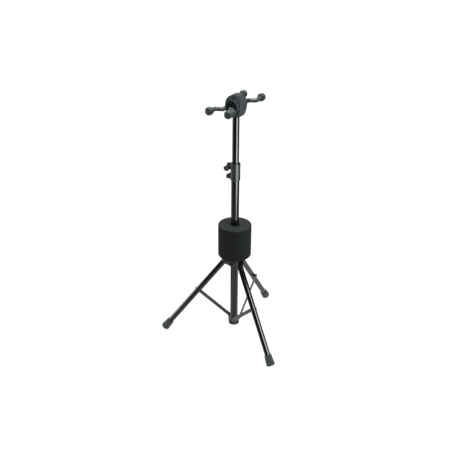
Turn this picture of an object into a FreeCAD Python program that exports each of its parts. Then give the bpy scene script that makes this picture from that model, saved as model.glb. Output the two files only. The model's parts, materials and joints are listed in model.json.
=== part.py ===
import FreeCAD, Part
import math
import os

# A folding tripod stand that hangs two guitars from rubber-covered yokes.
# Millimetres. +Z is up, the origin is on the mast axis at floor level,
# and the front yoke points along -Y. It is drawn standing open.

# Mast
lower_tube_radius = 15.0
lower_tube_bore = 13.6
lower_tube_bottom = 40.0
lower_tube_top = 688.0
upper_tube_radius = 12.5
upper_tube_bore = 11.2
upper_tube_bottom = 345.0
upper_tube_top = 923.0
running_gap = 0.06
clear_gap = 0.3

# Clamp collar at the top of the lower tube
collar_radius = 18.0
collar_bottom = 658.0
collar_top = 724.0
collar_knob_height = 703.0
collar_boss_reach = 23.9
lug_reach = 36.0
lug_half_width = 5.0
lug_bottom = 660.0
lug_shoulder = 673.0
lug_top = 687.0
lug_screw_height = 667.0
lug_screw_recess = 4.0
bush_flange = 3.0
bush_depth = 26.0

# Clamp screws
spindle_radius = 4.0
pad_radius = 4.5
pad_thickness = 1.4
pad_travel = 1.6
boss_radius = 8.0
insert_radius = 6.0
knob_waist_radius = 7.5
knob_end_radius = 11.3
knob_lobe_start = 8.6
knob_half_length = 14.5
knob_rest_turn = 15.0

# Head
head_centre_height = 940.0
head_bottom = 900.0
head_top = 978.0
head_bottom_half_width = 21.0
head_middle_half_width = 28.6
head_crown_radius = 31.0
head_half_depth = 26.0
head_bottom_half_depth = 22.0
head_top_half_depth = 14.5
head_wall = 2.5
head_rounding = 4.0
ring_outer_radius = 25.0
ring_inner_radius = 19.5
ring_back = 20.0
ring_front = 36.0
head_screw_height = 968.5
head_screw_seat = 18.0
head_screw_depth = 2.0
core_half_width = 15.0
core_half_depth = 15.5
core_bottom = 904.0
core_top = 960.0
core_tongue_half_width = 7.0
core_tongue_half_depth = 9.0
core_tongue_top = 974.0
axle_radius = 5.0
axle_half_length = 33.0

# Yokes
yoke_rod_radius = 4.0
yoke_sleeve_radius = 7.8
yoke_tip_radius = 14.4
yoke_half_width = 37.0
yoke_bend_radius = 10.0
yoke_root_half_width = 11.0
yoke_root_reach = 47.0
yoke_elbow_half_width = 14.0
yoke_elbow_reach = 68.0
yoke_bend_reach = 77.0
yoke_tip_reach = 126.0
yoke_tip_length = 20.0
yoke_tip_rise = 2.5
yoke_hub_radius = 17.5
yoke_hub_back = 19.0
yoke_hub_front = 33.0
yoke_neck_reach = 54.5
yoke_neck_half_width = 18.0
yoke_neck_half_height = 8.0
yoke_sleeve_start = 10.6

# Tripod
leg_azimuths = (90.0, 210.0, 330.0)
leg_tilt = math.radians(37.5)
leg_tube_radius = 11.0
leg_tube_bore = 9.8
leg_pivot_reach = 33.5
leg_pivot_height = 328.0
leg_pivot_radius = 4.0
leg_top_overhang = 5.0
foot_length = 42.0
foot_cuff_radius = 14.0
foot_end_radius = 16.3
foot_rounding = 6.0
foot_flat_depth = 1.0
foot_sole = 8.0
strut_pivot_reach = 13.0
strut_pivot_height = 54.0
strut_joint_distance = 186.0
strut_width = 14.0
strut_thickness = 3.0
strut_tip_overhang = 1.0
strut_inner_offset = 16.3
rivet_radius = 3.0

# Sliding hub and foam bumper
hub_bottom = 300.0
hub_plate_bottom = 345.0
hub_plate_radius = 40.0
hub_sleeve_radius = 20.0
hub_bush_radius = 16.5
hub_knob_azimuth = 150.0
hub_knob_height = 322.0
hub_knob_reach = 39.5
foam_radius = 63.0
foam_bottom = 350.0
foam_top = 478.0
foam_bore = 17.0
foam_rim = 3.0

# Foot of the mast
bracket_flat = 16.0
bracket_corner_radius = 24.0
bracket_bottom = 41.0
bracket_top = 60.0
cap_radius = 21.0
cap_bottom = 33.0

ORIGIN = FreeCAD.Vector(0, 0, 0)
X_AXIS = FreeCAD.Vector(1, 0, 0)
Y_AXIS = FreeCAD.Vector(0, 1, 0)
UP = FreeCAD.Vector(0, 0, 1)


def at(x, y, z):
    return FreeCAD.Vector(x, y, z)


def rod(radius, start, end):
    along = end - start
    return Part.makeCylinder(radius, along.Length, start, along)


def pipe(outer, inner, start, end):
    return rod(outer, start, end).cut(rod(inner, start, end))


def cone(start_radius, end_radius, start, end):
    along = end - start
    return Part.makeCone(start_radius, end_radius, along.Length, start, along)


def box(low, high):
    size = high - low
    return Part.makeBox(size.x, size.y, size.z, low)


def join(first, *others):
    return first.fuse(list(others)).removeSplitter()


def bored(shape, *tools):
    return shape.cut(list(tools)).removeSplitter()


def turned(shape, azimuth):
    copy = shape.copy()
    copy.rotate(ORIGIN, UP, azimuth)
    return copy


def edges_on_circle(shape, radius, height):
    """Circular edges about the mast axis at a height."""
    found = []
    for edge in shape.Edges:
        curve = edge.Curve
        if not isinstance(curve, Part.Circle):
            continue
        if abs(curve.Radius - radius) < 0.01 and abs(curve.Center.z - height) < 0.01:
            found.append(edge)
    return found


def rounded_path(points, bend_radius):
    """A wire through points with every corner rounded by the same radius."""
    edges = []
    start = points[0]
    for before, corner, after in zip(points, points[1:], points[2:]):
        back = (before - corner).normalize()
        ahead = (after - corner).normalize()
        half_turn = (math.pi - back.getAngle(ahead)) / 2
        reach = bend_radius * math.tan(half_turn)
        middle_way = (back + ahead).normalize()
        centre = corner + middle_way * (bend_radius / math.cos(half_turn))
        arc_start = corner + back * reach
        arc_end = corner + ahead * reach
        arc_middle = centre - middle_way * bend_radius
        edges.append(Part.LineSegment(start, arc_start).toShape())
        edges.append(Part.Arc(arc_start, arc_middle, arc_end).toShape())
        start = arc_end
    edges.append(Part.LineSegment(start, points[-1]).toShape())
    return Part.Wire(edges)


def swept_solid(path, radius):
    """A round rod along a wire."""
    start = path.Edges[0].valueAt(path.Edges[0].FirstParameter)
    ahead = path.Edges[0].tangentAt(path.Edges[0].FirstParameter)
    shell = Part.BRepOffsetAPI.MakePipeShell(path)
    shell.add(Part.Wire(Part.makeCircle(radius, start, ahead)))
    shell.build()
    shell.makeSolid()
    return shell.shape()


def spun(profile, start, direction):
    """A solid turned from (distance, radius) points about a line, with profile[0] at the start."""
    points = [at(radius, 0, distance) for distance, radius in profile]
    points.append(at(0, 0, profile[-1][0]))
    points.append(at(0, 0, profile[0][0]))
    face = Part.Face(Part.makePolygon(points + [points[0]]))
    solid = face.revolve(ORIGIN, UP, 360)
    solid.Placement = FreeCAD.Placement(start, FreeCAD.Rotation(UP, direction))
    return solid


def save(name, *solids):
    shape = solids[0] if len(solids) == 1 else Part.makeCompound(list(solids))
    shape.exportStep("parts/" + name + ".step")


def clamp_knob(knob_axis, height):
    """A T-shaped grip across its screw: a waist between two lobes that widen to flat round ends."""
    grip = rod(knob_waist_radius, at(knob_axis, -knob_half_length, height), at(knob_axis, knob_half_length, height))
    for side in (-1, 1):
        lobe = cone(
            knob_end_radius - 1,
            knob_end_radius,
            at(knob_axis, side * knob_lobe_start, height),
            at(knob_axis, side * knob_half_length, height),
        )
        grip = grip.fuse(lobe)
    grip = grip.removeSplitter()
    outer_rims = []
    for edge in grip.Edges:
        if isinstance(edge.Curve, Part.Circle) and abs(edge.Curve.Radius - knob_end_radius) < 0.01:
            outer_rims.append(edge)
    grip = grip.makeFillet(1.6, outer_rims)
    grip.rotate(at(knob_axis, 0, height), X_AXIS, -knob_rest_turn)
    return grip


def clamp_screw(name, azimuth, height, shaft_radius, boss_end):
    """A clamp knob, its spindle, thread insert and pad, drawn along +X and turned to an azimuth.
    Returns the tool that clears the pad and the insert out of the wall round the shaft."""
    pad_back = shaft_radius + clear_gap + pad_thickness
    chamber_end = pad_back + pad_travel + 0.1
    knob_axis = boss_end + knob_waist_radius + 0.5
    pad = rod(pad_radius, at(shaft_radius - 2, 0, height), at(pad_back, 0, height))
    pad = pad.cut(rod(shaft_radius + clear_gap, at(0, 0, height - 10), at(0, 0, height + 10)))
    spindle = rod(spindle_radius, at(pad_back + 0.1, 0, height), at(knob_axis, 0, height))
    insert = pipe(
        insert_radius, spindle_radius + running_gap, at(chamber_end, 0, height), at(boss_end, 0, height)
    )
    grip = clamp_knob(knob_axis, height)
    grip = grip.cut(rod(spindle_radius, at(boss_end, 0, height), at(knob_axis, 0, height)))
    save(name + "_pressure_pad", turned(pad, azimuth))
    save(name + "_clamp_spindle", turned(spindle, azimuth))
    save(name + "_thread_insert", turned(insert, azimuth))
    save(name + "_clamp_knob", turned(grip, azimuth))
    chamber = rod(pad_radius + 0.1, at(0, 0, height), at(chamber_end, 0, height))
    seat = rod(insert_radius, at(chamber_end, 0, height), at(boss_end + 1, 0, height))
    return turned(chamber.fuse(seat), azimuth)


def make_lower_mast():
    tube = pipe(lower_tube_radius, lower_tube_bore, at(0, 0, lower_tube_bottom), at(0, 0, lower_tube_top))

    # A fixed lug below the knob carries the screw that keeps the collar on the tube.
    lug_root = collar_radius - 2
    lug_outline = [
        at(lug_root, 0, lug_bottom),
        at(lug_reach, 0, lug_bottom),
        at(lug_reach, 0, lug_shoulder),
        at(lug_root, 0, lug_top),
        at(lug_root, 0, lug_bottom),
    ]
    lug = Part.Face(Part.makePolygon(lug_outline)).extrude(at(0, 2 * lug_half_width, 0))
    lug.translate(at(0, -lug_half_width, 0))
    lug = turned(lug, 180)
    boss = rod(boss_radius, at(14, 0, collar_knob_height), at(collar_boss_reach, 0, collar_knob_height))
    boss = turned(boss, 180)
    collar = join(rod(collar_radius, at(0, 0, collar_bottom), at(0, 0, collar_top)), lug, boss)
    rims = edges_on_circle(collar, collar_radius, collar_bottom) + edges_on_circle(collar, collar_radius, collar_top)
    collar = collar.makeFillet(1.0, rims)
    bush_top = lower_tube_top + bush_flange
    lug_end = at(-lug_reach, 0, lug_screw_height)
    recess_end = lug_end + X_AXIS * lug_screw_recess
    tube_wall = at(-lower_tube_bore, 0, lug_screw_height)
    screw_hole = rod(2.0, lug_end - X_AXIS, tube_wall)
    screw_recess = rod(3.6, lug_end - X_AXIS, recess_end)
    pad_tool = clamp_screw("collar", 180, collar_knob_height, upper_tube_radius, collar_boss_reach)
    collar = bored(
        collar,
        rod(lower_tube_radius, at(0, 0, collar_bottom - 1), at(0, 0, bush_top)),
        rod(upper_tube_radius + clear_gap, at(0, 0, bush_top), at(0, 0, collar_top + 1)),
        screw_hole,
        screw_recess,
        pad_tool,
    )
    screw = join(rod(3.5, recess_end, lug_end + X_AXIS), rod(1.9, recess_end, tube_wall))
    socket_radius = 1.6
    socket_corners = []
    for step in range(7):
        angle = math.radians(step * 60)
        socket_corners.append(lug_end + at(0, math.cos(angle), math.sin(angle)) * socket_radius)
    screw = bored(screw, Part.Face(Part.makePolygon(socket_corners)).extrude(X_AXIS * 3))
    bush = join(
        rod(lower_tube_bore, at(0, 0, lower_tube_top - bush_depth), at(0, 0, lower_tube_top)),
        rod(lower_tube_radius, at(0, 0, lower_tube_top), at(0, 0, bush_top)),
    )
    bush = bored(
        bush, rod(upper_tube_radius + running_gap, at(0, 0, lower_tube_top - bush_depth - 1), at(0, 0, bush_top + 1))
    )
    save("lower_mast_tube", bored(tube, screw_hole))
    save("clamp_collar", collar)
    save("collar_fixing_screw", screw)
    save("collar_bush", bush)


def make_mast_foot():
    height = bracket_top - bracket_bottom
    corner = bracket_flat * 2
    corners = []
    for azimuth in leg_azimuths:
        # The struts lie against the flats, a quarter turn back from their legs, with a corner between two.
        angle = math.radians(azimuth - 30)
        corners.append(at(corner * math.cos(angle), corner * math.sin(angle), bracket_bottom))
    block = Part.Face(Part.makePolygon(corners + [corners[0]])).extrude(UP * height)
    bevel = 3.0
    round_outside = spun(
        [(0, bracket_corner_radius), (height - bevel, bracket_corner_radius), (height, bracket_corner_radius - bevel)],
        at(0, 0, bracket_bottom),
        UP,
    )
    block = block.common(round_outside)
    tools = [rod(lower_tube_radius, at(0, 0, bracket_bottom - 1), at(0, 0, bracket_top + 1))]
    screws = []
    for azimuth in leg_azimuths:
        outer = -(strut_inner_offset + strut_thickness + clear_gap)
        shank_end = at(strut_pivot_reach, -12, strut_pivot_height)
        shank = rod(rivet_radius, at(strut_pivot_reach, outer, strut_pivot_height), shank_end)
        head = spun(
            [(0, 5.5), (1.4, 5.2), (2.2, 4.0)], at(strut_pivot_reach, outer, strut_pivot_height), -Y_AXIS
        )
        screws.append(turned(join(shank, head), azimuth))
        tools.append(turned(shank, azimuth))
    plug_top = 62.0
    cap = join(
        rod(cap_radius, at(0, 0, cap_bottom), at(0, 0, lower_tube_bottom)),
        rod(lower_tube_bore - 0.05, at(0, 0, lower_tube_bottom), at(0, 0, plug_top)),
    )
    cap = bored(cap, rod(lower_tube_bore - 3, at(0, 0, lower_tube_bottom), at(0, 0, plug_top + 1)))
    rims = edges_on_circle(cap, cap_radius, cap_bottom) + edges_on_circle(cap, cap_radius, lower_tube_bottom)
    save("mast_end_cap", cap.makeFillet(1.5, rims))
    save("strut_bracket", bored(block, *tools))
    save("strut_pivot_screws", *screws)


def make_upper_mast():
    bush_top = upper_tube_bottom + 32
    tube = pipe(upper_tube_radius, upper_tube_bore, at(0, 0, upper_tube_bottom), at(0, 0, upper_tube_top))
    bush = pipe(
        lower_tube_bore - 0.07,
        upper_tube_radius + running_gap,
        at(0, 0, upper_tube_bottom),
        at(0, 0, bush_top),
    )
    save("upper_mast_tube", tube)
    save("mast_guide_bush", bush)


def head_body(inset):
    """The housing's rounded shield shape crossed with its bulging side profile, or the cavity when inset."""
    reach = 60.0
    crown_centre = head_top - head_crown_radius
    crown = head_crown_radius - inset
    low = head_bottom + inset
    bottom_half = head_bottom_half_width - inset
    middle_half = head_middle_half_width - inset
    middle_height = (head_bottom + crown_centre) / 2
    right_side = Part.Arc(
        at(bottom_half, -reach, low), at(middle_half, -reach, middle_height), at(crown, -reach, crown_centre)
    )
    top_arc = Part.Arc(
        at(crown, -reach, crown_centre), at(0, -reach, crown_centre + crown), at(-crown, -reach, crown_centre)
    )
    left_side = Part.Arc(
        at(-crown, -reach, crown_centre), at(-middle_half, -reach, middle_height), at(-bottom_half, -reach, low)
    )
    base = Part.LineSegment(at(-bottom_half, -reach, low), at(bottom_half, -reach, low))
    outline = Part.Wire([curve.toShape() for curve in (right_side, top_arc, left_side, base)])
    shield = Part.Face(outline).extrude(Y_AXIS * (2 * reach))
    corners = []
    for edge in shield.Edges:
        if isinstance(edge.Curve, Part.Line) and abs(edge.CenterOfMass.z - low) < 0.01 and abs(edge.CenterOfMass.x) > 1:
            corners.append(edge)
    shield = shield.makeFillet(6.0, corners)

    back_points = [
        at(-reach, head_bottom_half_depth - inset, low),
        at(-reach, head_half_depth - 0.8 - inset, head_centre_height - 24),
        at(-reach, head_half_depth - inset, head_centre_height),
        at(-reach, head_half_depth - 0.8 - inset, head_centre_height + 14),
        at(-reach, head_half_depth - 5.2 - inset, head_centre_height + 29),
        at(-reach, head_top_half_depth - inset, head_top - inset + 1),
    ]
    front_points = [at(-reach, -point.y, point.z) for point in reversed(back_points)]
    back = Part.BSplineCurve()
    back.interpolate(back_points)
    front = Part.BSplineCurve()
    front.interpolate(front_points)
    roof = Part.LineSegment(back_points[-1], front_points[0])
    floor = Part.LineSegment(front_points[-1], back_points[0])
    side_view = Part.Wire([curve.toShape() for curve in (back, roof, front, floor)])
    return shield.common(Part.Face(side_view).extrude(X_AXIS * (2 * reach)))


def make_head():
    outer = head_body(0)
    face_edges = []
    for edge in outer.Edges:
        middle = edge.valueAt((edge.FirstParameter + edge.LastParameter) / 2)
        if abs(middle.y) > 5 and edge.Length > 1 and abs(edge.tangentAt(edge.FirstParameter).y) < 0.9:
            face_edges.append(edge)
    outer = outer.makeFillet(head_rounding, face_edges)
    screw_middle = at(0, 0, head_screw_height)
    axle_middle = at(0, 0, head_centre_height)
    outside = 40.0
    boss = rod(6.0, screw_middle + Y_AXIS * (core_tongue_half_depth + 0.3), screw_middle + Y_AXIS * outside)
    reach = 60.0
    front_space = box(at(-reach, -reach, head_bottom - 5), at(reach, 0, head_top + 5))
    back_shell = bored(
        outer.cut(head_body(head_wall).cut(boss)),
        front_space,
        rod(upper_tube_radius + 0.5, at(0, 0, head_bottom - 1), at(0, 0, head_bottom + 6)),
        rod(3.5, screw_middle + Y_AXIS * head_screw_seat, screw_middle + Y_AXIS * outside),
        rod(2.0, screw_middle, screw_middle + Y_AXIS * outside),
        rod(ring_outer_radius, axle_middle + Y_AXIS * ring_back, axle_middle + Y_AXIS * outside),
    )
    save("head_back_shell", back_shell)
    save("head_front_shell", back_shell.mirror(ORIGIN, Y_AXIS))

    core = box(at(-core_half_width, -core_half_depth, core_bottom), at(core_half_width, core_half_depth, core_top))
    upright_edges = []
    for edge in core.Edges:
        if abs(edge.tangentAt(edge.FirstParameter).z) > 0.99:
            upright_edges.append(edge)
    core = core.makeFillet(5.0, upright_edges)
    tongue = box(
        at(-core_tongue_half_width, -core_tongue_half_depth, core_top - 2),
        at(core_tongue_half_width, core_tongue_half_depth, core_tongue_top),
    )
    core_tools = [
        rod(upper_tube_radius, at(0, 0, core_bottom - 1), at(0, 0, upper_tube_top)),
        rod(axle_radius, axle_middle - Y_AXIS * (core_half_depth + 1), axle_middle + Y_AXIS * (core_half_depth + 1)),
    ]
    screws = []
    slot_half_length = 2.0
    slot_half_width = 0.4
    for side in (-1, 1):
        out = Y_AXIS * side
        seat = screw_middle + out * head_screw_seat
        head_end = seat + out * head_screw_depth
        screw_head = spun([(0, 3.3), (1.2, 3.3), (head_screw_depth, 2.4)], seat, out)
        shank = rod(1.8, seat, screw_middle + out * 3)
        cross = []
        for half_x, half_z in ((slot_half_width, slot_half_length), (slot_half_length, slot_half_width)):
            corner = at(half_x, 0, half_z)
            cross.append(box(head_end - Y_AXIS * 0.9 - corner, head_end + Y_AXIS * 0.9 + corner))
        screws.append(bored(join(screw_head, shank), *cross))
        core_tools.append(shank)
    save("head_core", bored(join(core, tongue), *core_tools))
    save("head_screws", *screws)

    axle = rod(axle_radius, axle_middle - Y_AXIS * axle_half_length, axle_middle + Y_AXIS * axle_half_length)
    axle_screws = []
    ring_length = ring_front - ring_back
    for side, ring_name in ((-1, "front_ring"), (1, "back_ring")):
        out = Y_AXIS * side
        end = axle_middle + out * axle_half_length
        thread = rod(2.5, end, end - out * 12)
        axle = axle.cut(thread)
        washer_head = spun([(0, 8.0), (1.6, 8.0), (2.6, 6.8)], end, out)
        axle_screws.append(join(washer_head, thread))

        # The ring leans in to its recess with a wide bevel.
        ring_start = axle_middle + out * ring_back
        ring_end = axle_middle + out * ring_front
        ring = spun(
            [
                (0, ring_outer_radius),
                (ring_length - 2, ring_outer_radius),
                (ring_length, ring_outer_radius - 1.5),
            ],
            ring_start,
            out,
        )
        recess = rod(ring_inner_radius, ring_start - out, ring_end + out)
        bevel = cone(ring_inner_radius, ring_inner_radius + 3, ring_end - out * 3, ring_end)
        save(ring_name, bored(ring, recess, bevel))
    save("yoke_axle", axle)
    save("yoke_axle_screws", *axle_screws)


def make_yoke(name, azimuth):
    """The yoke is drawn pointing along -Y and turned about the mast for the back one."""
    height = head_centre_height
    rod_end_depth = 12.0
    right = [
        at(yoke_half_width, -yoke_tip_reach + yoke_tip_length - rod_end_depth, height + yoke_tip_rise),
        at(yoke_half_width, -yoke_bend_reach, height),
        at(yoke_elbow_half_width, -yoke_elbow_reach, height),
        at(yoke_root_half_width, -yoke_root_reach, height),
    ]
    left = [at(-corner.x, corner.y, corner.z) for corner in right]
    steel_rod = swept_solid(rounded_path(right + left[::-1], yoke_bend_radius), yoke_rod_radius)

    # The sleeve starts just outside the hub's neck, on the rod's short run forwards.
    root_run = (right[2] - right[3]).normalize()
    sleeve_start = right[3] + root_run * yoke_sleeve_start
    sleeve = swept_solid(rounded_path(right[:3] + [sleeve_start], yoke_bend_radius), yoke_sleeve_radius)
    arm = (right[0] - right[1]).normalize()
    tip = spun(
        [
            (0, yoke_sleeve_radius),
            (1, yoke_tip_radius - 2),
            (2.5, yoke_tip_radius - 0.4),
            (6, yoke_tip_radius),
            (14, yoke_tip_radius - 0.1),
            (17, yoke_tip_radius - 1),
            (19, yoke_tip_radius - 3.2),
            (yoke_tip_length, yoke_tip_radius - 7.4),
        ],
        right[0] - arm * rod_end_depth,
        arm,
    )
    right_sleeve = join(sleeve, tip).cut(steel_rod)
    left_sleeve = right_sleeve.mirror(ORIGIN, X_AXIS)

    hub = rod(yoke_hub_radius, at(0, -yoke_hub_back, height), at(0, -yoke_hub_front, height))
    neck = box(
        at(-yoke_neck_half_width, -yoke_neck_reach, height - yoke_neck_half_height),
        at(yoke_neck_half_width, -yoke_hub_front, height + yoke_neck_half_height),
    )
    long_edges = []
    for edge in neck.Edges:
        if abs(edge.tangentAt(edge.FirstParameter).y) > 0.99:
            long_edges.append(edge)
    neck = neck.makeFillet(6.0, long_edges)
    bush_radius = 7.5
    # A slot across the neck, open above and below, lets a spanner reach the axle screw.
    spanner_slot = box(
        at(-9, -yoke_hub_front - 4, height - yoke_hub_radius - 1),
        at(9, -yoke_hub_front + 0.3, height + yoke_hub_radius + 1),
    )
    bush_bore = rod(bush_radius, at(0, -yoke_hub_back + 1, height), at(0, -yoke_hub_front, height))
    hub = bored(join(hub, neck), steel_rod, bush_bore, spanner_slot)
    bush = pipe(
        bush_radius,
        axle_radius + running_gap,
        at(0, -yoke_hub_back, height),
        at(0, -yoke_hub_front + 0.3, height),
    )
    save(name + "_yoke_rod", turned(steel_rod, azimuth))
    save(name + "_yoke_hub", turned(hub, azimuth))
    save(name + "_yoke_bush", turned(bush, azimuth))
    save(name + "_yoke_right_sleeve", turned(right_sleeve, azimuth))
    save(name + "_yoke_left_sleeve", turned(left_sleeve, azimuth))


def make_hub():
    sleeve = rod(hub_sleeve_radius, at(0, 0, hub_bottom), at(0, 0, foam_bottom))
    plate = rod(hub_plate_radius, at(0, 0, hub_plate_bottom), at(0, 0, foam_bottom))
    lug_inner = leg_tube_radius + 0.4
    lug_outer = lug_inner + 5
    lug_top = hub_plate_bottom + 2
    round_radius = 14.0
    outer_reach = leg_pivot_reach + round_radius
    round_low = at(leg_pivot_reach, 0, leg_pivot_height - round_radius)
    round_far = at(outer_reach, 0, leg_pivot_height)
    round_middle = at(
        leg_pivot_reach + round_radius * math.sin(math.radians(45)),
        0,
        leg_pivot_height - round_radius * math.cos(math.radians(45)),
    )
    wire = Part.Wire([
        Part.LineSegment(at(17, 0, lug_top), at(outer_reach, 0, lug_top)).toShape(),
        Part.LineSegment(at(outer_reach, 0, lug_top), round_far).toShape(),
        Part.Arc(round_far, round_middle, round_low).toShape(),
        Part.LineSegment(round_low, at(17, 0, hub_bottom + 4)).toShape(),
        Part.LineSegment(at(17, 0, hub_bottom + 4), at(17, 0, lug_top)).toShape(),
    ])
    lug = Part.Face(wire).extrude(at(0, lug_outer - lug_inner, 0))
    tools = []
    pins = []
    lugs = []
    pivot = at(leg_pivot_reach, 0, leg_pivot_height)
    for azimuth in leg_azimuths:
        for offset in (lug_inner, -lug_outer):
            side_lug = lug.copy()
            side_lug.translate(at(0, offset, 0))
            lugs.append(turned(side_lug, azimuth))
        shank = rod(leg_pivot_radius, pivot - Y_AXIS * lug_outer, pivot + Y_AXIS * lug_outer)
        pin_head = spun([(0, 6.5), (1.4, 6.2), (2.2, 5.0)], pivot + Y_AXIS * lug_outer, Y_AXIS)
        pin_peened_end = spun([(0, 5.0), (1.0, 4.6), (1.6, 3.4)], pivot - Y_AXIS * lug_outer, -Y_AXIS)
        pins.append(turned(join(shank, pin_head, pin_peened_end), azimuth))
        tools.append(turned(shank, azimuth))
    boss = rod(boss_radius, at(hub_sleeve_radius - 2, 0, hub_knob_height), at(hub_knob_reach, 0, hub_knob_height))
    body = join(sleeve, plate, turned(boss, hub_knob_azimuth), *lugs)
    pad_tool = clamp_screw("hub", hub_knob_azimuth, hub_knob_height, lower_tube_radius, hub_knob_reach)
    bush = pipe(
        hub_bush_radius, lower_tube_radius + running_gap, at(0, 0, hub_bottom), at(0, 0, foam_bottom)
    )
    core_tool = rod(hub_bush_radius, at(0, 0, hub_bottom - 1), at(0, 0, foam_bottom + 1))
    save("hub_body", bored(body, core_tool, pad_tool, *tools))
    save("hub_bush", bored(bush, pad_tool))
    save("leg_pivot_pins", *pins)

    foam = rod(foam_radius, at(0, 0, foam_bottom), at(0, 0, foam_top))
    rims = edges_on_circle(foam, foam_radius, foam_bottom) + edges_on_circle(foam, foam_radius, foam_top)
    foam = foam.makeFillet(foam_rim, rims)
    save("foam_bumper", foam.cut(rod(foam_bore, at(0, 0, foam_bottom - 1), at(0, 0, foam_top + 1))))
    liner_top = foam_top - 5
    save("foam_liner", pipe(foam_bore, lower_tube_radius + 0.4, at(0, 0, foam_bottom), at(0, 0, liner_top)))


def make_leg(number, azimuth):
    pivot = at(leg_pivot_reach, 0, leg_pivot_height)
    along = at(math.sin(leg_tilt), 0, -math.cos(leg_tilt))
    # The rounded rim of the foot would reach just below the floor, and is flattened there.
    rim_depth = (foot_end_radius - foot_rounding) * math.sin(leg_tilt) - foot_rounding * math.cos(leg_tilt)
    end_height = rim_depth + foot_rounding - foot_flat_depth
    leg_length = (leg_pivot_height - end_height) / math.cos(leg_tilt)
    leg_end = pivot + along * leg_length
    tube_top = pivot - along * leg_top_overhang
    tube_end = leg_end - along * foot_sole
    rivet_point = pivot + along * strut_joint_distance
    pin_hole = rod(leg_pivot_radius + running_gap, pivot - Y_AXIS * 20, pivot + Y_AXIS * 20)
    rivet_hole = rod(rivet_radius, rivet_point - Y_AXIS * 20, rivet_point + Y_AXIS * 20)
    tube = bored(pipe(leg_tube_radius, leg_tube_bore, tube_top, tube_end), pin_hole, rivet_hole)

    plug_cap = rod(leg_tube_radius, tube_top - along * 1.5, tube_top)
    plug = join(plug_cap, rod(leg_tube_bore, tube_top, pivot + along * 22))
    plug = bored(plug, pin_hole)

    foot = spun(
        [
            (0, foot_cuff_radius - 0.6),
            (0.8, foot_cuff_radius),
            (foot_length - foot_rounding - 2, foot_end_radius),
            (foot_length, foot_end_radius),
        ],
        leg_end - along * foot_length,
        along,
    )
    end_rims = []
    for edge in foot.Edges:
        if isinstance(edge.Curve, Part.Circle) and (edge.Curve.Center - leg_end).Length < 0.01:
            end_rims.append(edge)
    foot = foot.makeFillet(foot_rounding, end_rims)
    below_floor = box(at(0, -50, -50), at(500, 50, 0))
    cuff_lip = 4.0
    foot = bored(
        foot,
        rod(leg_tube_radius, leg_end - along * (foot_length + 1), tube_end),
        rod(leg_tube_radius + 1.2, leg_end - along * (foot_length + 1), leg_end - along * (foot_length - cuff_lip)),
        below_floor,
    )

    # The stub on the strut's side stops short of the strut, and both ends fit the round tube.
    stub_end = strut_inner_offset - 0.4
    outside = join(
        rod(6.0, rivet_point - Y_AXIS * 6, rivet_point - Y_AXIS * stub_end),
        rod(rivet_radius, rivet_point - Y_AXIS * 6, rivet_point + Y_AXIS * 12),
        spun([(0, 5.5), (5.4, 5.5), (6.4, 4.4), (7.0, 2.8)], rivet_point + Y_AXIS * 6, Y_AXIS),
    )
    tube_space = rod(leg_tube_radius, tube_top, tube_end)
    stub = outside.cut(tube_space).fuse(
        rod(rivet_radius, rivet_point - Y_AXIS * (leg_tube_radius + 1), rivet_point + Y_AXIS * (leg_tube_radius + 1))
    )
    prefix = "leg_%d_" % number
    save(prefix + "tube", turned(tube, azimuth))
    save(prefix + "hinge_plug", turned(plug, azimuth))
    save(prefix + "rubber_foot", turned(foot, azimuth))
    save(prefix + "strut_stub", turned(stub.removeSplitter(), azimuth))


def make_strut(number, azimuth):
    pivot = at(leg_pivot_reach, 0, leg_pivot_height)
    along_leg = at(math.sin(leg_tilt), 0, -math.cos(leg_tilt))
    upper = pivot + along_leg * strut_joint_distance
    lower = at(strut_pivot_reach, 0, strut_pivot_height)
    along = (upper - lower).normalize()
    across = at(-along.z, 0, along.x) * (strut_width / 2)
    tip = upper + along * strut_tip_overhang
    wire = Part.Wire([
        Part.LineSegment(lower + across, tip + across).toShape(),
        Part.Arc(tip + across, tip + along * (strut_width / 2), tip - across).toShape(),
        Part.LineSegment(tip - across, lower - across).toShape(),
        Part.Arc(lower - across, lower - along * (strut_width / 2), lower + across).toShape(),
    ])
    bar = Part.Face(wire).extrude(at(0, -strut_thickness, 0))
    bar.translate(at(0, -strut_inner_offset, 0))
    bar = bar.makeFillet(0.5, bar.Edges)
    far = Y_AXIS * (strut_inner_offset + strut_thickness + 1)
    pivot_hole = rod(rivet_radius + running_gap, lower - far, lower - Y_AXIS * 10)
    rivet_shank = rod(
        rivet_radius,
        upper - Y_AXIS * (strut_inner_offset + strut_thickness),
        upper - Y_AXIS * strut_inner_offset,
    )
    rivet_head = spun(
        [(0, 5.0), (0.9, 4.6), (1.6, 3.2)], upper - Y_AXIS * (strut_inner_offset + strut_thickness), -Y_AXIS
    )
    save("strut_%d_bar" % number, turned(bored(bar, pivot_hole, rivet_shank), azimuth))
    save("strut_%d_rivet" % number, turned(join(rivet_shank, rivet_head), azimuth))


os.makedirs("parts", exist_ok=True)
make_lower_mast()
make_mast_foot()
make_upper_mast()
make_head()
make_yoke("front", 0)
make_yoke("back", 180)
make_hub()
for number, azimuth in enumerate(leg_azimuths, start=1):
    make_leg(number, azimuth)
    make_strut(number, azimuth)
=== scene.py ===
import json
import math

import bmesh
import bpy
from mathutils import Matrix, Vector


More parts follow.
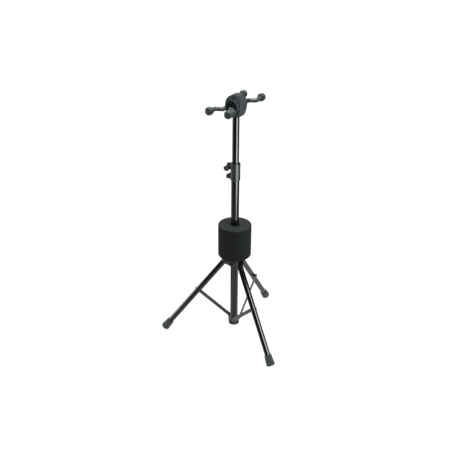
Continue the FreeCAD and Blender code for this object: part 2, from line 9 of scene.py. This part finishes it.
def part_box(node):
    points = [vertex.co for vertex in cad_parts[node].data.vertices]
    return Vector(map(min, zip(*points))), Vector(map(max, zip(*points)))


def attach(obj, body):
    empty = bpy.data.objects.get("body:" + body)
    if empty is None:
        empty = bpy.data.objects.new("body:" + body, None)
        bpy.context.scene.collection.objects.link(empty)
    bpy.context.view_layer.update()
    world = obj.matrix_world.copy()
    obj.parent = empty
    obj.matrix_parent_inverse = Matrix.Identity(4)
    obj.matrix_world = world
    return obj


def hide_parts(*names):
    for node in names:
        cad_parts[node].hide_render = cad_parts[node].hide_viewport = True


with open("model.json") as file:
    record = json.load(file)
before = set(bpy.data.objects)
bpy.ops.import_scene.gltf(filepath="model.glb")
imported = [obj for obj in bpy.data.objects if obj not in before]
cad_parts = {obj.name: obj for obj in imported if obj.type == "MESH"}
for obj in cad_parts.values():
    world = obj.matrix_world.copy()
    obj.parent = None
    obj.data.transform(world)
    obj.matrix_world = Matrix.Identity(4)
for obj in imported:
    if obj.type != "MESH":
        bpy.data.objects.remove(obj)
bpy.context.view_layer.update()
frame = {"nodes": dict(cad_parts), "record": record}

SCENE = bpy.context.scene


# ---------------------------------------------------------------- camera and light

def add_camera():
    """The camera stands in front and to the right of the front yoke, and looks down at the stand."""
    azimuth = math.radians(30.5)
    pitch_down = math.radians(27.43)
    roll = math.radians(0.245)
    data = bpy.data.cameras.new("camera")
    data.lens = 55.25
    data.sensor_width = 36.0
    data.shift_y = 0.0038
    data.clip_end = 200.0
    camera = bpy.data.objects.new("camera", data)
    turn = Matrix.Rotation(azimuth, 4, "Z")
    tilt = Matrix.Rotation(math.pi / 2 - pitch_down, 4, "X")
    lean = Matrix.Rotation(roll, 4, "Z")
    camera.matrix_world = Matrix.Translation((1.1464, -2.0116, 1.6638)) @ turn @ tilt @ lean
    SCENE.collection.objects.link(camera)
    SCENE.camera = camera


def add_softbox(name, azimuth, distance, bottom, top, width, luminance, diffuse=True, glossy=True):
    """An upright rectangular softbox that faces the mast, with an even surface luminance."""
    height = top - bottom
    data = bpy.data.lights.new(name, "AREA")
    data.shape = "RECTANGLE"
    data.size = width
    data.size_y = height
    data.energy = luminance * math.pi * width * height
    data.color = (0.95, 1.0, 1.02)
    light = bpy.data.objects.new(name, data)
    angle = math.radians(azimuth)
    place = Vector((distance * math.cos(angle), distance * math.sin(angle), (bottom + top) / 2))
    inward = Vector((-math.cos(angle), -math.sin(angle), 0))
    facing = inward.to_track_quat("-Z", "Y").to_matrix().to_4x4()
    light.matrix_world = Matrix.Translation(place) @ facing
    light.visible_diffuse = diffuse
    light.visible_glossy = glossy
    SCENE.collection.objects.link(light)
    return light


def add_overhead(name, height, side, luminance):
    """A square softbox above the mast that faces down."""
    data = bpy.data.lights.new(name, "AREA")
    data.shape = "SQUARE"
    data.size = side
    data.energy = luminance * math.pi * side * side
    light = bpy.data.objects.new(name, data)
    light.location.z = height
    SCENE.collection.objects.link(light)
    return light


def stage_disc(name, radius, height, material):
    mesh = bpy.data.meshes.new(name)
    shape = bmesh.new()
    bmesh.ops.create_circle(shape, cap_ends=True, radius=radius, segments=96)
    shape.to_mesh(mesh)
    shape.free()
    disc = bpy.data.objects.new(name, mesh)
    disc.location.z = height
    disc.data.materials.append(material)
    SCENE.collection.objects.link(disc)
    return disc


def emission_material(name, strength):
    material = bpy.data.materials.new(name)
    material.use_nodes = True
    nodes = material.node_tree.nodes
    nodes.clear()
    output = nodes.new("ShaderNodeOutputMaterial")
    glow = nodes.new("ShaderNodeEmission")
    glow.inputs["Strength"].default_value = strength
    material.node_tree.links.new(glow.outputs[0], output.inputs["Surface"])
    return material


def add_floor():
    """A white floor. It glows a little, so that the shadows on it stay faint."""
    material = bpy.data.materials.new("floor_white")
    material.use_nodes = True
    shader = material.node_tree.nodes["Principled BSDF"]
    shader.inputs["Base Color"].default_value = (0.3, 0.3, 0.3, 1)
    shader.inputs["Roughness"].default_value = 0.9
    shader.inputs["Emission Color"].default_value = (1, 1, 1, 1)
    shader.inputs["Emission Strength"].default_value = 0.8
    floor = stage_disc("floor", 40.0, 0.0, material)
    floor.visible_glossy = False
    floor.visible_diffuse = False


def add_floor_sheen():
    """What glossy paint sees of the floor: bright near the stand and dim further out."""
    material = emission_material("floor_sheen", 1.0)
    tree = material.node_tree
    glow = next(node for node in tree.nodes if node.type == "EMISSION")
    place = tree.nodes.new("ShaderNodeTexCoord")
    length = tree.nodes.new("ShaderNodeVectorMath")
    length.operation = "LENGTH"
    ramp = tree.nodes.new("ShaderNodeValToRGB")
    scale = tree.nodes.new("ShaderNodeMath")
    scale.operation = "DIVIDE"
    bright_radius = 0.5
    fade_radius = 4.0
    scale.inputs[1].default_value = fade_radius
    tree.links.new(place.outputs["Object"], length.inputs[0])
    tree.links.new(length.outputs["Value"], scale.inputs[0])
    tree.links.new(scale.outputs[0], ramp.inputs[0])
    tree.links.new(ramp.outputs[0], glow.inputs["Color"])
    stops = ramp.color_ramp.elements
    stops[0].position = bright_radius / fade_radius
    stops[0].color = (0.9, 0.9, 0.9, 1)
    stops[1].position = 1.0
    stops[1].color = (0.05, 0.05, 0.05, 1)
    for radius, value in ((1.1, 0.28), (2.0, 0.1)):
        stop = stops.new(radius / fade_radius)
        stop.color = (value, value, value, 1)
    disc = stage_disc("floor_sheen", 12.0, -0.002, material)
    disc.visible_camera = False
    disc.visible_diffuse = False
    disc.visible_shadow = False


def add_floor_pool(name, azimuth, near, far, width, luminances):
    """The pool of light on the floor in front of a softbox, which only glossy paint sees.
    The luminances run evenly from the near end to the far end."""
    material = emission_material(name, 1.0)
    tree = material.node_tree
    glow = next(node for node in tree.nodes if node.type == "EMISSION")
    place = tree.nodes.new("ShaderNodeTexCoord")
    split = tree.nodes.new("ShaderNodeSeparateXYZ")
    tree.links.new(place.outputs["Generated"], split.inputs[0])
    ramp = tree.nodes.new("ShaderNodeValToRGB")
    tree.links.new(split.outputs["X"], ramp.inputs[0])
    brightest = max(luminances)
    stops = ramp.color_ramp.elements
    while len(stops) < len(luminances):
        stops.new(0.5)
    for step, luminance in enumerate(luminances):
        value = luminance / brightest
        stops[step].position = step / (len(luminances) - 1)
        stops[step].color = (value, value, value, 1)
    glow.inputs["Strength"].default_value = brightest
    tree.links.new(ramp.outputs[0], glow.inputs["Color"])
    mesh = bpy.data.meshes.new(name)
    half = width / 2
    mesh.from_pydata(
        [(near, -half * near / far, 0), (far, -half, 0), (far, half, 0), (near, half * near / far, 0)],
        [],
        [(0, 1, 2, 3)],
    )
    pool = bpy.data.objects.new(name, mesh)
    pool.matrix_world = Matrix.Translation((0, 0, -0.001)) @ Matrix.Rotation(math.radians(azimuth), 4, "Z")
    pool.data.materials.append(material)
    SCENE.collection.objects.link(pool)
    pool.visible_camera = False
    pool.visible_diffuse = False
    pool.visible_shadow = False
    return pool


def add_backdrop():
    """A white dome far away, which only the camera sees, above the floor's edge."""
    mesh = bpy.data.meshes.new("backdrop")
    shape = bmesh.new()
    bmesh.ops.create_uvsphere(shape, u_segments=48, v_segments=24, radius=45.0)
    shape.to_mesh(mesh)
    shape.free()
    dome = bpy.data.objects.new("backdrop", mesh)
    dome.data.materials.append(emission_material("backdrop_white", 1.05))
    SCENE.collection.objects.link(dome)
    dome.visible_diffuse = False
    dome.visible_glossy = False
    dome.visible_shadow = False


def add_floor_shade():
    """A black disc in the floor, which only diffuse light sees, so that matt undersides stay dark."""
    material = emission_material("floor_shade", 0.0)
    disc = stage_disc("floor_shade", 30.0, -0.004, material)
    disc.visible_camera = False
    disc.visible_glossy = False
    disc.visible_shadow = False


def add_studio():
    """A soft overcast for matt surfaces, and separate strips for glossy paint to mirror.
    Returns the key lights and the light for the yokes' rubber, which are aimed at some slots only."""
    world = bpy.data.worlds.new("studio")
    world.use_nodes = True
    background = world.node_tree.nodes["Background"]
    background.inputs["Color"].default_value = (1, 1, 1, 1)
    background.inputs["Strength"].default_value = 1.0
    world.cycles_visibility.glossy = False
    SCENE.world = world
    SCENE.view_settings.view_transform = "Standard"
    # Azimuths are measured about the mast from +X, and luminances are in units of a white surface.
    camera_azimuth = -59.5
    key_azimuth = camera_azimuth + 38
    key_distance = 1.25
    key_width = 0.74
    key_low = add_softbox(
        "key_strip_low", azimuth=key_azimuth, distance=key_distance, bottom=0.0, top=0.12,
        width=key_width, luminance=10.5, diffuse=False,
    )
    key_high = add_softbox(
        "key_strip", azimuth=key_azimuth, distance=key_distance, bottom=0.12, top=1.15,
        width=key_width, luminance=13.5, diffuse=False,
    )
    add_softbox(
        "side_strip", azimuth=camera_azimuth + 68, distance=1.4, bottom=0.0, top=0.9,
        width=0.45, luminance=2.6, diffuse=False,
    )
    add_softbox(
        "left_wall", azimuth=camera_azimuth - 110, distance=3.0, bottom=0.0, top=0.7,
        width=4.4, luminance=4.0, diffuse=False,
    )
    add_softbox(
        "left_strip", azimuth=camera_azimuth - 105, distance=1.5, bottom=0.0, top=0.6,
        width=0.8, luminance=0.5, diffuse=False,
    )
    add_softbox("back_box", azimuth=120, distance=2.5, bottom=1.3, top=3.3, width=2.5, luminance=0.85)
    add_softbox(
        "right_soft", azimuth=5, distance=2.0, bottom=1.1, top=1.9, width=1.5, luminance=8.4, glossy=False
    )
    key_pool = add_floor_pool(
        "key_pool", azimuth=key_azimuth, near=0.3, far=key_distance, width=key_width,
        luminances=(0.9, 1.0, 1.7, 4.6, 8.0),
    )
    add_floor_pool(
        "left_pool", azimuth=camera_azimuth - 115, near=0.3, far=3.0, width=5.0,
        luminances=(0.4, 0.65, 0.65, 0.55, 0.5),
    )
    add_floor()
    add_floor_sheen()
    add_floor_shade()
    add_backdrop()
    rubber_light = add_overhead("rubber_light", height=1.9, side=0.9, luminance=7.0)
    return (key_low, key_high, key_pool), rubber_light


# ---------------------------------------------------------------- materials

class Finish:
    """Builds one node-based material step by step round a Principled shader."""

    def __init__(self, name, metallic=0.0, ior=1.5):
        self.material = bpy.data.materials.new(name)
        self.material.use_nodes = True
        self.tree = self.material.node_tree
        self.shader = self.tree.nodes["Principled BSDF"]
        self.shader.inputs["Metallic"].default_value = metallic
        self.shader.inputs["IOR"].default_value = ior
        self.place = self.add("ShaderNodeTexCoord").outputs["Object"]
        self.normal = None

    def add(self, kind):
        return self.tree.nodes.new(kind)

    def link(self, source, target):
        self.tree.links.new(source, target)

    def noise(self, scale, detail=3.0, roughness=0.55):
        """Noise with about this many cells to the metre."""
        texture = self.add("ShaderNodeTexNoise")
        texture.inputs["Scale"].default_value = scale
        texture.inputs["Detail"].default_value = detail
        texture.inputs["Roughness"].default_value = roughness
        self.link(self.place, texture.inputs["Vector"])
        return texture.outputs["Fac"]

    def spread(self, value, low, high, start=0.3, end=0.7):
        """Maps a texture's value from start..end to low..high."""
        mapped = self.add("ShaderNodeMapRange")
        mapped.inputs["From Min"].default_value = start
        mapped.inputs["From Max"].default_value = end
        mapped.inputs["To Min"].default_value = low
        mapped.inputs["To Max"].default_value = high
        self.link(value, mapped.inputs["Value"])
        return mapped.outputs["Result"]

    def colour(self, value, dark, light):
        mix = self.add("ShaderNodeMix")
        mix.data_type = "RGBA"
        mix.inputs["A"].default_value = (*dark, 1)
        mix.inputs["B"].default_value = (*light, 1)
        self.link(value, mix.inputs["Factor"])
        self.link(mix.outputs["Result"], self.shader.inputs["Base Color"])
        return mix

    def roughness(self, value):
        self.link(value, self.shader.inputs["Roughness"])

    def bump(self, value, height, strength=1.0):
        """Adds a bump layer of this height in metres on top of the ones before it."""
        bump = self.add("ShaderNodeBump")
        bump.inputs["Strength"].default_value = strength
        bump.inputs["Distance"].default_value = height
        self.link(value, bump.inputs["Height"])
        if self.normal is not None:
            self.link(self.normal, bump.inputs["Normal"])
        self.normal = bump.outputs["Normal"]
        self.link(self.normal, self.shader.inputs["Normal"])


def grey(value, tint=0.0):
    """A grey that is a little cooler with a higher tint."""
    return (value * (1 - tint), value, value * (1 + 0.15 * tint))


def paint_finish():
    finish = Finish("gloss_black_paint")
    cloud = finish.noise(9.0)
    finish.colour(finish.spread(cloud, 0, 1), grey(0.0035), grey(0.006, 0.05))
    finish.roughness(finish.spread(finish.noise(60.0, 2.0), 0.1, 0.13))
    return finish.material


def moulded_finish(name, level, roughness, grain_height=0.00004):
    """Moulded plastic with a fine eroded grain, faint waviness and slight cloudy variation."""
    tint = 0.2
    grain_scale = 1800.0
    wave_scale = 90.0
    wave_height = 0.00003
    finish = Finish(name, ior=1.46)
    cloud = finish.noise(22.0)
    finish.colour(finish.spread(cloud, 0, 1), grey(level * 0.86, tint), grey(level * 1.12, tint))
    finish.roughness(finish.spread(finish.noise(140.0, 4.0), roughness - 0.05, roughness + 0.07))
    finish.bump(finish.noise(grain_scale, 2.0), grain_height)
    finish.bump(finish.noise(wave_scale, 1.0), wave_height)
    return finish.material


def rubber_finish(name, level, roughness, specular=0.5):
    """Soft rubber with a sheen and fine dusty mottling."""
    tint = 0.2
    grain_scale = 1300.0
    grain_height = 0.00002
    finish = Finish(name, ior=1.48)
    mottle = finish.noise(260.0, 4.0, 0.6)
    finish.colour(finish.spread(mottle, 0, 1), grey(level * 0.9, tint), grey(level * 1.1, tint))
    finish.roughness(finish.spread(finish.noise(45.0, 3.0), roughness - 0.05, roughness + 0.08))
    finish.shader.inputs["Specular IOR Level"].default_value = specular
    finish.shader.inputs["Sheen Weight"].default_value = 0.05
    finish.shader.inputs["Sheen Roughness"].default_value = 0.45
    finish.bump(finish.noise(grain_scale, 2.0), grain_height)
    return finish.material


def foam_finish():
    """Closed-cell foam: tiny pores, a felt-like skin, a soft sheen and a painted lighter top."""
    tint = 0.12
    pore_scale = 700.0
    pore_height = 0.00035
    dent_scale = 60.0
    dent_height = 0.0006
    finish = Finish("charcoal_foam", ior=1.4)
    mottle = finish.spread(finish.noise(300.0, 4.0, 0.75), 0, 1, 0.35, 0.65)
    skin = finish.colour(mottle, grey(0.0095, tint), grey(0.03, tint))
    # Painted top light: faces that point up get a lighter colour than the side skin, standing in for the
    # brighter light on the top. The bottom keeps the skin colour.
    up_facing_normal = finish.add("ShaderNodeSeparateXYZ")
    finish.link(finish.add("ShaderNodeTexCoord").outputs["Normal"], up_facing_normal.inputs[0])
    painted_top_light_mix = finish.add("ShaderNodeMix")
    painted_top_light_mix.data_type = "RGBA"
    finish.link(finish.spread(up_facing_normal.outputs["Z"], 0, 1, 0.5, 0.95), painted_top_light_mix.inputs["Factor"])
    finish.link(skin.outputs["Result"], painted_top_light_mix.inputs["A"])
    # The painted top light: a lighter mottled grey for faces that point up.
    painted_top_light_colour = finish.add("ShaderNodeMix")
    painted_top_light_colour.data_type = "RGBA"
    painted_top_light_colour.inputs["A"].default_value = (*grey(0.022, tint), 1)
    painted_top_light_colour.inputs["B"].default_value = (*grey(0.042, tint), 1)
    finish.link(mottle, painted_top_light_colour.inputs["Factor"])
    finish.link(painted_top_light_colour.outputs["Result"], painted_top_light_mix.inputs["B"])
    finish.link(painted_top_light_mix.outputs["Result"], finish.shader.inputs["Base Color"])
    finish.roughness(finish.spread(finish.noise(80.0), 0.82, 0.95))
    finish.shader.inputs["Sheen Weight"].default_value = 0.04
    finish.shader.inputs["Specular IOR Level"].default_value = 0.15
    finish.shader.inputs["Sheen Roughness"].default_value = 0.6
    pores = finish.add("ShaderNodeTexVoronoi")
    pores.inputs["Scale"].default_value = pore_scale
    finish.link(finish.place, pores.inputs["Vector"])
    finish.bump(pores.outputs["Distance"], pore_height, 0.6)
    finish.bump(finish.noise(dent_scale, 2.0), dent_height, 0.5)
    return finish.material


def steel_finish(name, level, roughness, metallic):
    """Coated or bare steel with a fine drawn texture and small rubbed patches."""
    finish = Finish(name, metallic=metallic)
    lines = finish.noise(900.0, 3.0, 0.5)
    finish.colour(finish.spread(lines, 0, 1), grey(level * 0.8, 0.1), grey(level * 1.2, 0.1))
    finish.roughness(finish.spread(finish.noise(70.0, 4.0), roughness - 0.06, roughness + 0.1))
    finish.bump(lines, 0.00002)
    return finish.material


def brass_finish():
    finish = Finish("insert_brass", metallic=1.0)
    finish.colour(finish.spread(finish.noise(150.0), 0, 1), (0.5, 0.36, 0.15), (0.72, 0.53, 0.25))
    finish.roughness(finish.spread(finish.noise(300.0), 0.25, 0.4))
    return finish.material


def finishes():
    """Material slot of the record to Blender material."""
    return {
        "tube_paint": paint_finish(),
        "collar_plastic": moulded_finish("bracket_plastic", 0.033, 0.36, grain_height=0.00002),
        "head_plastic": moulded_finish("housing_plastic", 0.066, 0.42, grain_height=0.00002),
        "core_plastic": moulded_finish("core_plastic", 0.015, 0.5),
        "bush_plastic": moulded_finish("bush_plastic", 0.02, 0.35),
        "knob_plastic": moulded_finish("knob_plastic", 0.055, 0.4, grain_height=0.00002),
        "yoke_rubber": rubber_finish("yoke_rubber", 0.042, 0.36, 0.9),
        "foot_rubber": rubber_finish("foot_rubber", 0.06, 0.55),
        "bumper_foam": foam_finish(),
        "strut_steel": steel_finish("strut_coating", 0.06, 0.38, 0.2),
        "black_steel": steel_finish("blackened_steel", 0.03, 0.35, 0.6),
        "bare_steel": steel_finish("bare_steel", 0.3, 0.35, 1.0),
        "insert_brass": brass_finish(),
    }


def dress_nodes(materials):
    """Gives every CAD node the material of its slot in the record."""
    for row in frame["record"]["subparts"]:
        node = frame["nodes"].get(row["node"])
        if node is None:
            continue
        node.data.materials.clear()
        node.data.materials.append(materials[row["material_slot"]])


def aim_lights(lights, slots):
    """Lets lights reach only the nodes whose material slot is named."""
    receivers = bpy.data.collections.new("light_receivers")
    for row in frame["record"]["subparts"]:
        node = frame["nodes"].get(row["node"])
        if node is not None and row["material_slot"] in slots:
            receivers.objects.link(node)
    for light in lights:
        light.light_linking.receiver_collection = receivers


# ---------------------------------------------------------------- soft pieces

def piece_from(name, shape, material, body, replaced=()):
    mesh = bpy.data.meshes.new(name)
    shape.to_mesh(mesh)
    shape.free()
    for face in mesh.polygons:
        face.use_smooth = True
    piece = bpy.data.objects.new(name, mesh)
    piece.data.materials.append(material)
    SCENE.collection.objects.link(piece)
    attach(piece, body)
    if replaced:
        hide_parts(*replaced)
    return piece


def lathe(profile, segments):
    """A closed ring of revolution about Z from a closed loop of (radius, height) points."""
    shape = bmesh.new()
    rings = []
    for step in range(segments):
        angle = 2 * math.pi * step / segments
        rings.append([
            shape.verts.new((radius * math.cos(angle), radius * math.sin(angle), height))
            for radius, height in profile
        ])
    for ring, following in zip(rings, rings[1:] + rings[:1]):
        for a, b, c, d in zip(ring, ring[1:] + ring[:1], following[1:] + following[:1], following):
            shape.faces.new((a, d, c, b))
    bmesh.ops.recalc_face_normals(shape, faces=shape.faces)
    return shape


def add_foam(materials):
    """The foam bumper: a thick cylinder with a bore and soft rims."""
    low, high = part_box("foam_bumper")
    outer = high.x
    bottom = low.z
    top = high.z
    bore = 0.017
    rim = 0.0035
    bore_rim = rim * 0.5
    rim_points = 5
    rim_step = 22.5
    profile = []
    for corner_r, corner_z, reach, start in (
        (outer - rim, bottom + rim, rim, 270),
        (outer - rim, top - rim, rim, 0),
        (bore + bore_rim, top - bore_rim, bore_rim, 90),
        (bore + bore_rim, bottom + bore_rim, bore_rim, 180),
    ):
        for step in range(rim_points):
            angle = math.radians(start + rim_step * step)
            profile.append((corner_r + reach * math.cos(angle), corner_z + reach * math.sin(angle)))

    # Long runs of the outline are split into pieces no longer than about 6 mm.
    filled = []
    longest = 0.006
    for (r0, z0), (r1, z1) in zip(profile, profile[1:] + profile[:1]):
        count = max(1, round(math.hypot(r1 - r0, z1 - z0) / longest))
        for step in range(count):
            part = step / count
            filled.append((r0 + (r1 - r0) * part, z0 + (z1 - z0) * part))
    segments = 144
    foam = piece_from(
        "foam_bumper_soft",
        lathe(filled, segments),
        materials["bumper_foam"],
        "hub",
        ["foam_bumper"],
    )


add_camera()
key_lights, rubber_light = add_studio()
materials = finishes()
dress_nodes(materials)
add_foam(materials)
aim_lights(key_lights, ("tube_paint", "collar_plastic", "strut_steel", "black_steel"))
aim_lights([rubber_light], ("yoke_rubber",))
